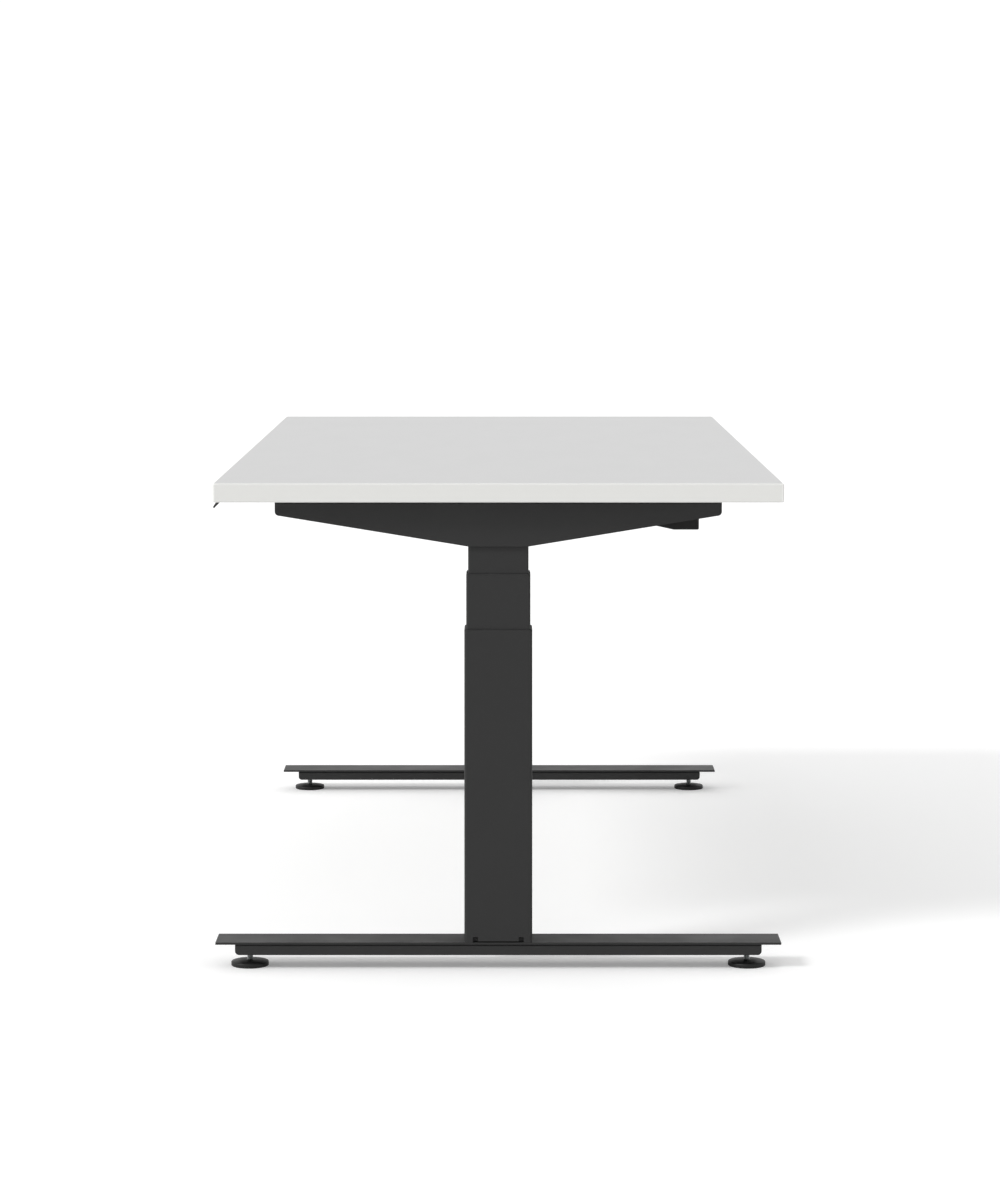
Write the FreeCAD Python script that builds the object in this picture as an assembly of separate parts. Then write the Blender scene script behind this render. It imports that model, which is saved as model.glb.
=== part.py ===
# Electric sit-stand desk: a laminate worktop on two T-shaped steel legs. Each leg is a three-stage
# telescopic column of rectangular tube on a flat foot with two screw glides. A gear motor in the
# inner tube turns two nested spindles, so that the inner and the middle stage rise together.
# Frame: X along the desk, Y from the user's side to the back, Z up, origin on the floor under the
# middle of the worktop. Lengths are in millimetres. The pose is a low sitting height.
import FreeCAD
import Part
import math
import os

Vector = FreeCAD.Vector

# ---- driving sizes -------------------------------------------------------------------------
# Worktop
top_length = 1600.0
top_depth = 750.0
top_thickness = 25.0
band_thickness = 2.0         # plastic edge band glued round the board
band_corner = 2.4            # its upright corners
band_arris = 1.9             # its top and bottom edges

# Columns, seen from above: width along Y, depth along X
column_width = 90.0
column_depth = 60.0
tube_wall = 1.5
slide_gap = 1.0              # between one tube and the next, filled by the guides
tube_corner = 4.0            # outside corner radius of the outer tube
leg_inset = 30.0             # from the end of the worktop to the leg's outer face
stage_travel = 325.0         # of each of the two moving stages
rest_extension = 23.25       # of each stage in the modelled pose
outer_overlap = 82.75        # middle stage still inside the outer one when fully out
middle_overlap = 126.25      # inner stage still inside the middle one when fully out
collar_lip = 1.4             # visible height of the plastic collar on a tube
collar_inset = 0.3           # of the collar's side from the tube's side
collar_skirt = 30.0          # hidden part of the collar, inside the tube
collar_round = 0.8           # of the lip's top edge
guide_height = 30.0          # of the guide ring round the bottom of a moving tube
guide_play = 0.15            # running gap on every sliding guide face
fit_play = 0.05              # gap round pieces that are pressed, glued or screwed in

# Foot
foot_length = 750.0
cover_thickness = 3.0
channel_setback = 26.0       # of the channel's end from the cover plate's end
channel_depth = 14.0
channel_wall = 2.5
channel_side_inset = 1.5     # of the channel's side from the cover plate's edge
channel_corner = 5.5         # lower corner at both ends of its sides
channel_bend = 3.2           # outside radius of the channel's two bends
floor_gap = 19.0             # under the channel
edge_break = 0.4             # on the cover plate's edges

# Screw glide
glide_radius = 25.0
glide_rim = 6.2
glide_shoulder = 1.8         # rounding of the rim's upper edge
glide_height = 8.2
glide_hub_radius = 6.5
glide_inset = 44.0           # of its axis from the end of the cover plate
stem_radius = 4.0
stem_seat = 3.0              # height of the stem's lower end inside the disc
glide_travel_in = 2.5        # left before the stem meets the cover plate
glide_nut_height = 9.5
glide_nut_flats = 13.0

# Relief cut in the outer tube's foot, at its two broad faces
relief_square = 6.6
relief_height = 7.0
relief_tab = 54.0
relief_slit = 1.6

# Drive, from the bottom up
base_plate = 5.0
base_margin = 6.0            # of the base plate inside the outer tube
bottom_gap = 1.75            # middle stage above the base plate when fully down
end_plate = 4.0
end_gap = 2.75               # inner stage above the middle stage's end plate when fully down
spindle_gap = 1.5
lower_nut_height = 20.0
carrier_lip = 4.0
bearing_height = 10.0
spindle_head = 8.0
spindle_flange = 3.0
upper_nut_height = 16.0
coupling_gap = 2.0
coupling_height = 10.0
gearbox_length = 40.0
gearbox_flange = 6.0
motor_length = 90.0
motor_play = 2.5             # between the motor and the inner tube
head_plate = 4.0
key_length = 14.0

# Drive, radii
upper_spindle_radius = 6.0
key_play = 0.2               # of the hexagonal key in the lower spindle's bore
key_shoulder = 0.1           # of the key beyond the thread
lower_spindle_radius = 10.0
post_play = 1.0
post_wall = 2.0
nut_shoulder = 1.0
carrier_play = 1.0
carrier_wall = 2.0
carrier_lip_play = 1.5
flange_radius = 13.0
coupling_radius = 11.0
coupling_play = 1.0
motor_shoulder = 1.5         # step from the gearbox to the motor can

# Bracket under the worktop
bracket_setback = 80.0       # of its end from the edge of the worktop
bracket_sheet = 3.0
bracket_end_height = 19.0
bracket_deep_height = 60.5
bracket_corner = 5.5
bracket_bend = 4.0           # outside radius of its two long bends
bend_relief = 1.5
bend_relief_deep = 4.7
bend_relief_in = 6.0
bend_relief_offset = 12.6    # from the side of the inner tube

# Stretcher rails
rail_width = 25.0
rail_height = 40.0
rail_wall = 2.0
rail_corner = 3.0            # outside corner radius of the rail's tube
rail_offset = 70.0           # of the rail's axis from the middle of the desk
rail_plate = 4.0
rail_tab = 22.0
rail_plate_height = 42.0
rail_plate_drop = 3.5        # of the end plate's top below the worktop
rail_plate_corner = 2.5

# Control box
box_length = 260.0
box_width = 105.0
box_deep = 49.6
box_shallow = 34.1
box_flat = 34.0              # width of the flat bottom, before it slopes up
box_wall = 2.2
box_lid = 2.5
box_ear = 12.0
box_end_gap = 70.0           # from the bracket
box_rear_gap = 103.0         # from the back edge of the worktop
box_round = 2.0              # outside edges of the moulding
board_thickness = 1.6

# Handset
paddle_width = 90.0
paddle_arm = 1.8             # half thickness of its arm
paddle_root = 2.3            # of its blade at the elbow
paddle_tip = 1.2             # and at the tip
paddle_barrel = 2.8
handset_end_gap = 120.0      # of the paddle from the end of the worktop
handset_depth = 46.0
handset_height = 9.0
handset_front_gap = 4.0
handset_cheek = 2.0
handset_wall = 2.0
handset_round = 0.8          # lower edges of the tray
handset_pocket = 10.0
handset_pin_radius = 1.0
running_play = 0.05
pivot_point = (9.0, -4.2)    # each pair: back from the front edge, up from the underside
elbow_point = (0.0, -6.0)
tip_point = (-7.4, -15.5)

# Fasteners
base_bolt_radius = 3.0
base_bolt_head = (5.0, 6.0)
base_bolt_spread = (16.0, 28.0)
head_screw_radius = 2.5
head_screw_head = (4.8, 2.5)
head_screw_length = 9.0
head_screw_spread = (15.0, 28.0)
rail_bolt_radius = 3.0
rail_bolt_head = 4.0
rail_nut_height = 5.0
rail_bolt_flats = 10.0
rail_bolt_pitch = 22.0
clearance_hole = 0.3
top_screw_radius = 2.2
top_screw_head = (4.0, 2.5)
top_screw_bite = 15.0
top_screws_per_arm = 3
small_screw_radius = 1.8
small_screw_head = (3.4, 2.0)
small_screw_bite = 12.0

# ---- heights and places that follow --------------------------------------------------------
foot_top = floor_gap + channel_depth + cover_thickness
base_top = foot_top + base_plate
middle_bottom = base_top + bottom_gap + rest_extension
outer_top = base_top + bottom_gap + stage_travel + outer_overlap
middle_top = middle_bottom + end_plate + end_gap + stage_travel + middle_overlap
inner_bottom = middle_bottom + end_plate + end_gap + rest_extension

lower_nut_bottom = base_top + spindle_gap + stage_travel
lower_nut_top = lower_nut_bottom + lower_nut_height
carrier_bottom = lower_nut_top + spindle_gap + rest_extension
bearing_bottom = carrier_bottom + carrier_lip
bearing_top = bearing_bottom + bearing_height
upper_nut_bottom = bearing_top + spindle_head
upper_nut_top = upper_nut_bottom + upper_nut_height
coupling_bottom = upper_nut_top + coupling_gap + rest_extension
coupling_top = coupling_bottom + coupling_height
gearbox_top = coupling_top + gearbox_length
motor_top = gearbox_top + motor_length
inner_top = motor_top + head_plate
underside = inner_top + bracket_sheet
lower_spindle_bottom = base_top + spindle_gap + rest_extension
lower_spindle_top = upper_nut_bottom - nut_shoulder
upper_spindle_bottom = lower_spindle_top - key_length - stage_travel + rest_extension

stage_step = 2 * (tube_wall + slide_gap)
middle_size = (column_depth - stage_step, column_width - stage_step)
inner_size = (middle_size[0] - stage_step, middle_size[1] - stage_step)
middle_corner = tube_corner - 0.5
inner_corner = middle_corner - 0.5
motor_radius = (inner_size[0] - 2 * tube_wall) / 2 - motor_play
key_flats = 2 * (upper_spindle_radius + key_shoulder)
post_bore = lower_spindle_radius + post_play
post_radius = post_bore + post_wall
lower_nut_radius = post_radius + nut_shoulder
carrier_bore = lower_nut_radius + carrier_play
carrier_radius = carrier_bore + carrier_wall

leg_x = top_length / 2 - leg_inset - column_depth / 2
bracket_length = top_depth - 2 * bracket_setback
rail_face_x = leg_x - column_depth / 2
front_y = -top_depth / 2
glide_y = foot_length / 2 - glide_inset
web_bottom = foot_top - cover_thickness - channel_wall
glide_nut_bottom = web_bottom - glide_nut_height
stem_top = foot_top - cover_thickness - glide_travel_in - slide_gap / 2
paddle_x = top_length / 2 - handset_end_gap - paddle_width / 2
box_x = rail_face_x - box_end_gap - box_length / 2
box_back_y = top_depth / 2 - box_rear_gap
box_front_y = box_back_y - box_width
SIDES = (("left", -1), ("right", 1))


# ---- shapes used by several pieces ---------------------------------------------------------
def block(x0, x1, y0, y1, z0, z1):
    return Part.makeBox(x1 - x0, y1 - y0, z1 - z0, Vector(x0, y0, z0))


def prism(size, z0, z1, radius, x):
    """Upright block of size (x, y), centred on the leg's axis at x, with its upright edges rounded."""
    body = block(x - size[0] / 2, x + size[0] / 2, -size[1] / 2, size[1] / 2, z0, z1)
    upright = [e for e in body.Edges if e.BoundBox.ZLength > (z1 - z0) / 2]
    return body.makeFillet(radius, upright)


def ring(outside, inside, z0, z1, outer_radius, inner_radius, x):
    """Upright tube: both sizes are (x, y)."""
    return prism(outside, z0, z1, outer_radius, x).cut(prism(inside, z0, z1, inner_radius, x))


def lengthwise(body, axis, z):
    """The straight edges of body at height z that run along axis."""
    found = []
    for edge in body.Edges:
        box = edge.BoundBox
        run = box.XLength if axis == "X" else box.YLength
        if run > edge.Length - 1e-3 and abs(box.ZMin - z) < 1e-3 and abs(box.ZMax - z) < 1e-3:
            found.append(edge)
    return found


def grow(size, margin):
    """(x, y) made larger by margin on every side, or smaller where margin is negative."""
    return (size[0] + 2 * margin, size[1] + 2 * margin)


def pole(radius, z0, z1, x, y=0.0):
    """Upright cylinder."""
    return Part.makeCylinder(radius, z1 - z0, Vector(x, y, z0))


def rod(radius, x0, x1, y, z):
    """Cylinder along X."""
    return Part.makeCylinder(radius, x1 - x0, Vector(x0, y, z), Vector(1, 0, 0))


def hexagon(flats, start, direction, across):
    """Hexagonal bar from start along direction; across points to one of its corners."""
    corner = Vector(*across) * (flats / math.sqrt(3))
    axis = Vector(*direction)
    turn = FreeCAD.Rotation(axis, 60)
    points = [corner]
    for _ in range(6):
        points.append(turn.multVec(points[-1]))
    face = Part.Face(Part.makePolygon([Vector(*start) + p for p in points]))
    return face.extrude(axis)


def side_outline(points, x0, x1):
    """Outline of (y, z) points, extruded from x0 to x1."""
    loop = [Vector(x0, y, z) for y, z in points]
    face = Part.Face(Part.makePolygon(loop + loop[:1]))
    return face.extrude(Vector(x1 - x0, 0, 0))


def countersunk(radius, head, tip_z, top_z, x, y):
    """Countersunk screw or its hole: head is (radius, height), with its flat top at top_z."""
    shank = pole(radius, tip_z, top_z - head[1], x, y)
    cone = Part.makeCone(radius, head[0], head[1], Vector(x, y, top_z - head[1]))
    return shank.fuse(cone)


def pan_screw(radius, head, bite_z, seat_z, x, y):
    """Upright screw driven from below: its head hangs under seat_z and its tip is at bite_z."""
    shank = pole(radius, seat_z, bite_z, x, y)
    cap = pole(head[0], seat_z - head[1], seat_z, x, y)
    rim = [e for e in cap.Edges if e.BoundBox.ZMax < seat_z - head[1] / 2]
    return shank.fuse(cap.makeFillet(head[1] / 2, rim))


def corners(spread, x):
    """The four (x, y) points at plus and minus spread about the leg's axis."""
    return [(x + i * spread[0], j * spread[1]) for i in (-1, 1) for j in (-1, 1)]


# ---- worktop -------------------------------------------------------------------------------
def arm_screw_places():
    """Worktop screws along both arms of both brackets."""
    first = rail_offset + rail_width / 2 + rail_tab + 4 * top_screw_head[0]
    last = bracket_length / 2 - 6 * top_screw_head[0]
    step = (last - first) / (top_screws_per_arm - 1)
    offsets = [first + i * step for i in range(top_screws_per_arm)]
    return [(s * leg_x, j * y) for _, s in SIDES for j in (-1, 1) for y in offsets]


def ear_screw_places():
    """Control box screws, through the ears at both ends of its lid."""
    ends = (box_x - (box_length + box_ear) / 2, box_x + (box_length + box_ear) / 2)
    rows = (box_front_y + box_width / 5, box_back_y - box_width / 5)
    return [(x, y) for x in ends for y in rows]


def handset_screw_places():
    back = front_y + handset_front_gap + handset_depth - 3 * small_screw_head[0]
    return [(paddle_x + s * paddle_width * 0.4, back) for s in (-1, 1)]


def worktop_board():
    t = band_thickness
    half = (top_length / 2 - t, top_depth / 2 - t)
    board = block(-half[0], half[0], -half[1], half[1], underside, underside + top_thickness)
    big = underside + top_screw_bite
    small = underside + small_screw_bite
    pilots = [pole(top_screw_radius + fit_play, underside, big, x, y) for x, y in arm_screw_places()]
    for x, y in ear_screw_places() + handset_screw_places():
        pilots.append(pole(small_screw_radius + fit_play, underside, small, x, y))
    return board.cut(pilots)


def worktop_edge_band():
    """Four strips: the long ones run to the corners and the short ones fit between them."""
    t = band_thickness
    top = underside + top_thickness
    half = (top_length / 2, top_depth / 2)
    slab = prism((top_length, top_depth), underside, top, band_corner, 0.0)
    flat = [e for e in slab.Edges if e.BoundBox.ZLength < 1e-6]
    slab = slab.makeFillet(band_arris, flat)
    hoop = slab.cut(block(-half[0] + t, half[0] - t, -half[1] + t, half[1] - t, underside, top))
    middle = block(-half[0], half[0], -half[1] + t, half[1] - t, underside, top)
    strips = hoop.cut(middle).Solids + hoop.common(middle).Solids
    return Part.makeCompound(strips)


# ---- bracket and rails ---------------------------------------------------------------------
def bracket(sign):
    """Folded steel channel, deepest at the column, with closed ends."""
    x = sign * leg_x
    half = bracket_length / 2
    flat = inner_size[1] / 2
    low = underside - bracket_end_height
    deep = underside - bracket_deep_height
    outline = [
        (-half, underside),
        (half, underside),
        (half, low),
        (flat, deep),
        (-flat, deep),
        (-half, low),
    ]
    body = side_outline(outline, x - column_depth / 2, x + column_depth / 2)
    ends = [e for e in body.Edges if e.BoundBox.XLength > 1 and abs(e.BoundBox.ZMax - low) < 1e-6]
    body = body.makeFillet(bracket_corner, ends)
    body = body.makeFillet(bracket_bend, lengthwise(body, "Y", underside))
    inside = column_depth / 2 - bracket_sheet
    hollow = half - bracket_sheet
    cavity = block(x - inside, x + inside, -hollow, hollow, deep - 1, inner_top)
    body = body.cut(cavity.makeFillet(bracket_bend - bracket_sheet, lengthwise(cavity, "Y", inner_top)))
    holes = []
    for y in (-flat - bend_relief_offset, flat + bend_relief_offset):
        for edge in (-1, 1):
            face = x + edge * column_depth / 2
            inner = face - edge * bend_relief_in
            y0 = y - bend_relief / 2
            low_z = underside - bend_relief_deep
            holes.append(block(min(face, inner), max(face, inner), y0, y0 + bend_relief, low_z, underside))
    for sx, sy in arm_screw_places():
        if sx * sign > 0:
            holes.append(pole(top_screw_radius + clearance_hole, inner_top, underside, sx, sy))
    for sx, sy in corners(head_screw_spread, x):
        hole_radius = head_screw_radius + fit_play
        holes.append(countersunk(hole_radius, head_screw_head, inner_top, underside, sx, sy))
    for x0, y, z in rail_bolt_places():
        if x0 * sign > 0:
            holes.append(rod(rail_bolt_radius + clearance_hole, x0 - 20, x0 + 20, y, z))
    return body.cut(holes)


def rail_bolt_places():
    """(x of the bracket's face, y, z) of the bolts, two at each end of each rail."""
    y = rail_offset + (rail_width + rail_tab) / 2
    middle = underside - rail_plate_drop - rail_plate_height / 2
    rows = (middle - rail_bolt_pitch / 2, middle + rail_bolt_pitch / 2)
    return [(s * rail_face_x, j * y, z) for _, s in SIDES for j in (-1, 1) for z in rows]


def rail(sign):
    """Rectangular steel tube with a welded end plate that lies flat on the bracket."""
    inner = rail_face_x - rail_plate
    y0 = rail_offset - rail_width / 2
    y1 = rail_offset + rail_width / 2
    z0 = underside - rail_height
    body = block(-inner, inner, y0, y1, z0, underside)
    body = body.makeFillet(rail_corner, lengthwise(body, "X", z0) + lengthwise(body, "X", underside))
    roof = underside - rail_wall
    bore = block(-inner, inner, y0 + rail_wall, y1 - rail_wall, z0 + rail_wall, roof)
    long_edges = lengthwise(bore, "X", z0 + rail_wall) + lengthwise(bore, "X", roof)
    body = body.cut(bore.makeFillet(rail_corner - rail_wall, long_edges))
    top = underside - rail_plate_drop
    for _, s in SIDES:
        ends = sorted((s * inner, s * rail_face_x))
        plate = block(ends[0], ends[1], y0, y1 + rail_tab, top - rail_plate_height, top)
        square = [e for e in plate.Edges if e.BoundBox.XLength > rail_plate / 2]
        body = body.fuse(plate.makeFillet(rail_plate_corner, square))
    if sign < 0:
        body = body.mirror(Vector(0, 0, 0), Vector(0, 1, 0))
    holes = [
        rod(rail_bolt_radius + clearance_hole, x - 20, x + 20, y, z)
        for x, y, z in rail_bolt_places()
        if y * sign > 0
    ]
    return body.cut(holes).removeSplitter()


def rail_fasteners():
    """Hexagon bolts from the rail's side, each with its nut inside the bracket."""
    pieces = []
    for x, y, z in rail_bolt_places():
        out = 1 if x > 0 else -1
        head_x = x - out * rail_plate
        tip_x = x + out * (bracket_sheet + rail_nut_height)
        shank = rod(rail_bolt_radius, min(head_x, tip_x), max(head_x, tip_x), y, z)
        head = hexagon(rail_bolt_flats, (head_x, y, z), (-out * rail_bolt_head, 0, 0), (0, 0, 1))
        nut_x = x + out * bracket_sheet
        nut = hexagon(rail_bolt_flats, (nut_x, y, z), (out * rail_nut_height, 0, 0), (0, 0, 1))
        nut = nut.cut(rod(rail_bolt_radius + fit_play, x - 20, x + 20, y, z))
        pieces += [shank.fuse(head), nut]
    return Part.makeCompound(pieces)


def worktop_screws():
    tip = underside + top_screw_bite
    places = arm_screw_places()
    return Part.makeCompound(
        [pan_screw(top_screw_radius, top_screw_head, tip, inner_top, x, y) for x, y in places]
    )


def column_head_screws():
    tip = underside - head_screw_length
    places = [p for _, s in SIDES for p in corners(head_screw_spread, s * leg_x)]
    return Part.makeCompound(
        [countersunk(head_screw_radius, head_screw_head, tip, underside, x, y) for x, y in places]
    )


# ---- column tubes, from the inside out -----------------------------------------------------
def inner_tube(sign):
    """Inner stage, with the plate welded into its top end."""
    x = sign * leg_x
    bore = grow(inner_size, -tube_wall)
    bore_corner = inner_corner - tube_wall
    tube = ring(inner_size, bore, inner_bottom, inner_top, inner_corner, bore_corner, x)
    plate = prism(bore, motor_top, inner_top, bore_corner, x)
    screws = [
        pole(head_screw_radius + fit_play, motor_top, inner_top, px, py)
        for px, py in corners(head_screw_spread, x)
    ]
    return tube.fuse(plate).cut(screws).removeSplitter()


def stage_guide(size, bottom, corner, x):
    """Plastic ring glued round the foot of a moving tube. It slides in the next tube."""
    outside = grow(size, slide_gap - guide_play)
    return ring(outside, size, bottom, bottom + guide_height, corner + slide_gap / 2, corner, x)


def stage_collar(size, tube_top, corner, x):
    """Plastic guide in the mouth of a tube of that outside size: a skirt inside and a lip on top."""
    bore = grow(size, -tube_wall)
    bore_corner = corner - tube_wall
    hole = grow(bore, guide_play - slide_gap)
    skirt = prism(grow(bore, -fit_play), tube_top - collar_skirt, tube_top, bore_corner, x)
    lip = prism(grow(size, -collar_inset), tube_top, tube_top + collar_lip, corner, x)
    rim = [e for e in lip.Edges if e.BoundBox.ZMin > tube_top + collar_lip / 2]
    lip = lip.makeFillet(collar_round, rim)
    opening = prism(hole, tube_top - collar_skirt, tube_top + collar_lip, bore_corner, x)
    return skirt.fuse(lip).cut(opening).removeSplitter()


def middle_tube(sign):
    x = sign * leg_x
    bore = grow(middle_size, -tube_wall)
    corner = middle_corner
    return ring(middle_size, bore, middle_bottom, middle_top, corner, corner - tube_wall, x)


def outer_tube(sign):
    """Outer stage, welded to the foot, with relief cuts at the bottom of its broad faces."""
    x = sign * leg_x
    size = (column_depth, column_width)
    bore = grow(size, -tube_wall)
    tube = ring(size, bore, foot_top, outer_top, tube_corner, tube_corner - tube_wall, x)
    x0 = x - column_depth
    x1 = x + column_depth
    tab = relief_tab / 2
    side = tab + relief_square
    cuts = [
        block(x0, x1, tab, side, foot_top, foot_top + relief_height),
        block(x0, x1, -side, -tab, foot_top, foot_top + relief_height),
        block(x0, x1, -tab, tab, foot_top, foot_top + relief_slit),
    ]
    return tube.cut(cuts)


# ---- drive ---------------------------------------------------------------------------------
def gear_motor(sign):
    """Motor can and gearbox; the gearbox ends in a flange that fills the inner tube."""
    x = sign * leg_x
    bore = grow(inner_size, -tube_wall - fit_play)
    can = pole(motor_radius - motor_shoulder, gearbox_top, motor_top, x)
    case = pole(motor_radius, coupling_top, gearbox_top, x)
    flange = prism(bore, coupling_top - gearbox_flange, coupling_top, inner_corner - tube_wall, x)
    shaft_hole = pole(coupling_radius + coupling_play, coupling_bottom, coupling_top, x)
    return Part.makeCompound([can, case.fuse(flange).cut(shaft_hole)])


def upper_spindle(sign):
    """Screw driven by the gearbox: coupling on top, thread, and a hexagonal key at its lower end."""
    x = sign * leg_x
    coupling = pole(coupling_radius, coupling_bottom, coupling_top - key_play, x)
    thread = pole(upper_spindle_radius, upper_spindle_bottom + key_length, coupling_bottom, x)
    key = hexagon(key_flats, (x, 0, upper_spindle_bottom), (0, 0, key_length), (1, 0, 0))
    return coupling.fuse([thread, key])


def upper_nut(sign):
    x = sign * leg_x
    nut = pole(carrier_bore - fit_play, upper_nut_bottom, upper_nut_top, x)
    return nut.cut(pole(upper_spindle_radius + running_play, upper_nut_bottom, upper_nut_top, x))


def spindle_bearing(sign):
    x = sign * leg_x
    race = pole(carrier_bore - fit_play, bearing_bottom, bearing_top, x)
    return race.cut(pole(lower_spindle_radius + running_play, bearing_bottom, bearing_top, x))


def lower_spindle(sign):
    """Hollow screw hung in the middle stage's bearing; its hexagonal bore takes the upper key."""
    x = sign * leg_x
    body = pole(lower_spindle_radius, lower_spindle_bottom, lower_spindle_top, x)
    flange_bottom = bearing_top + running_play
    flange = pole(flange_radius, flange_bottom, flange_bottom + spindle_flange, x)
    length = lower_spindle_top - lower_spindle_bottom
    bore = hexagon(key_flats + 2 * key_play, (x, 0, lower_spindle_bottom), (0, 0, length), (1, 0, 0))
    return body.fuse(flange).cut(bore)


def spindle_carrier(sign):
    """Middle stage's end plate with the tube that holds the bearing and the upper nut."""
    x = sign * leg_x
    bore_corner = middle_corner - tube_wall
    size = grow(middle_size, -tube_wall - fit_play)
    plate = prism(size, middle_bottom, middle_bottom + end_plate, bore_corner, x)
    tube = pole(carrier_radius, middle_bottom, upper_nut_top, x)
    body = plate.fuse(tube).cut(pole(carrier_bore, middle_bottom, upper_nut_top, x))
    lip = pole(carrier_bore, carrier_bottom, bearing_bottom, x)
    lip_bore = lower_spindle_radius + carrier_lip_play
    return body.fuse(lip.cut(pole(lip_bore, carrier_bottom, bearing_bottom, x))).removeSplitter()


def lower_nut(sign):
    x = sign * leg_x
    nut = pole(lower_nut_radius, lower_nut_bottom, lower_nut_top, x)
    return nut.cut(pole(lower_spindle_radius + running_play, lower_nut_bottom, lower_nut_top, x))


def spindle_post(sign):
    """Base plate bolted through the foot, with the post that carries the lower nut."""
    x = sign * leg_x
    size = (column_depth - 2 * base_margin, column_width - 2 * base_margin)
    plate = prism(size, foot_top, base_top, tube_corner, x)
    post = pole(post_radius, base_top, lower_nut_bottom, x)
    body = plate.fuse(post.cut(pole(post_bore, base_top, lower_nut_bottom, x)))
    holes = [
        pole(base_bolt_radius + fit_play, foot_top, base_top, px, py)
        for px, py in corners(base_bolt_spread, x)
    ]
    return body.cut(holes)


# ---- foot ----------------------------------------------------------------------------------
def foot_cover_plate(sign):
    x = sign * leg_x
    bottom = foot_top - cover_thickness
    half_depth = column_depth / 2
    half_length = foot_length / 2
    plate = block(x - half_depth, x + half_depth, -half_length, half_length, bottom, foot_top)
    plate = plate.makeFillet(edge_break, plate.Edges)
    holes = [
        pole(base_bolt_radius + clearance_hole, bottom, foot_top, px, py)
        for px, py in corners(base_bolt_spread, x)
    ]
    return plate.cut(holes)


def foot_channel(sign):
    """Upside-down channel welded under the cover plate, open at the bottom and at both ends."""
    x = sign * leg_x
    top = foot_top - cover_thickness
    half = foot_length / 2 - channel_setback
    side = column_depth / 2 - channel_side_inset
    body = block(x - side, x + side, -half, half, floor_gap, top)
    lower = [e for e in body.Edges if e.BoundBox.XLength > 1 and e.BoundBox.ZMax < top - 1]
    body = body.makeFillet(channel_corner, lower)
    body = body.makeFillet(channel_bend, lengthwise(body, "Y", top))
    inner = side - channel_wall
    cavity = block(x - inner, x + inner, -half, half, floor_gap, web_bottom)
    body = body.cut(cavity.makeFillet(channel_bend - channel_wall, lengthwise(cavity, "Y", web_bottom)))
    holes = [
        pole(base_bolt_radius + clearance_hole, web_bottom, top, px, py)
        for px, py in corners(base_bolt_spread, x)
    ]
    for y in (-glide_y, glide_y):
        holes.append(pole(stem_radius + clearance_hole, web_bottom, top, x, y))
    nuts = []
    for y in (-glide_y, glide_y):
        start = (x, y, glide_nut_bottom)
        nut = hexagon(glide_nut_flats, start, (0, 0, glide_nut_height), (1, 0, 0))
        nuts.append(nut.cut(pole(stem_radius + running_play, glide_nut_bottom, web_bottom, x, y)))
    return body.cut(holes).fuse(nuts)


def base_bolts(sign):
    """Socket-head bolts that hold the column to the foot, driven from below."""
    x = sign * leg_x
    pieces = []
    for px, py in corners(base_bolt_spread, x):
        head = pole(base_bolt_head[0], web_bottom - base_bolt_head[1], web_bottom, px, py)
        shank = pole(base_bolt_radius, web_bottom, base_top, px, py)
        depth = base_bolt_head[1] / 2
        start = (px, py, web_bottom - base_bolt_head[1])
        socket = hexagon(base_bolt_head[0], start, (0, 0, depth), (1, 0, 0))
        pieces.append(head.fuse(shank).cut(socket))
    return Part.makeCompound(pieces)


def glide_disc(x, y):
    """Turned nylon foot: flat sole, short rim and a domed top that rises to the stem."""
    r = glide_radius
    hub = glide_hub_radius
    break_edge = edge_break * 2
    sole = Vector(0, 0, 0)
    sole_edge = Vector(r - break_edge, 0, 0)
    rim_low = Vector(r, 0, break_edge)
    rim_high = Vector(r, 0, glide_rim - glide_shoulder)
    turn = glide_shoulder * (1 - math.sqrt(0.5))
    rim_turn = Vector(r - turn, 0, glide_rim - turn)
    shoulder = Vector(r - glide_shoulder, 0, glide_rim)
    half_way = Vector((r + hub) / 2, 0, glide_rim + 0.62 * (glide_height - glide_rim))
    hub_edge = Vector(hub, 0, glide_height)
    crown = Vector(0, 0, glide_height)
    edges = [
        Part.LineSegment(sole, sole_edge).toShape(),
        Part.LineSegment(sole_edge, rim_low).toShape(),
        Part.LineSegment(rim_low, rim_high).toShape(),
        Part.Arc(rim_high, rim_turn, shoulder).toShape(),
        Part.Arc(shoulder, half_way, hub_edge).toShape(),
        Part.LineSegment(hub_edge, crown).toShape(),
        Part.LineSegment(crown, sole).toShape(),
    ]
    disc = Part.Face(Part.Wire(edges)).revolve(Vector(0, 0, 0), Vector(0, 0, 1), 360)
    disc = disc.cut(pole(stem_radius, stem_seat, glide_height, 0.0))
    return disc.translated(Vector(x, y, 0))


def glide_stem(x, y):
    stem = pole(stem_radius, stem_seat, stem_top, x, y)
    tip = [e for e in stem.Edges if e.BoundBox.ZMin > stem_top - 1]
    return stem.makeChamfer(edge_break * 2, tip)


# ---- control box ---------------------------------------------------------------------------
def box_outline(inset, top_z):
    """Cross-section of the box, shrunk by inset: deep and flat at the back, sloping up to the front."""
    back = box_back_y - inset
    front = box_front_y + inset
    low = underside - box_deep + inset
    shallow = underside - box_shallow + inset
    return [(front, top_z), (back, top_z), (back, low), (box_back_y - box_flat, low), (front, shallow)]


def box_sockets_places():
    """(y, z, width, height) of each socket in the inner end wall."""
    z = underside - box_lid - 13.0
    first = box_back_y - 24.0
    small = [(first - 26.0 - i * 18.0, z, 13.0, 11.0) for i in range(3)]
    return [(first, z, 27.0, 19.0)] + small


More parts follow.
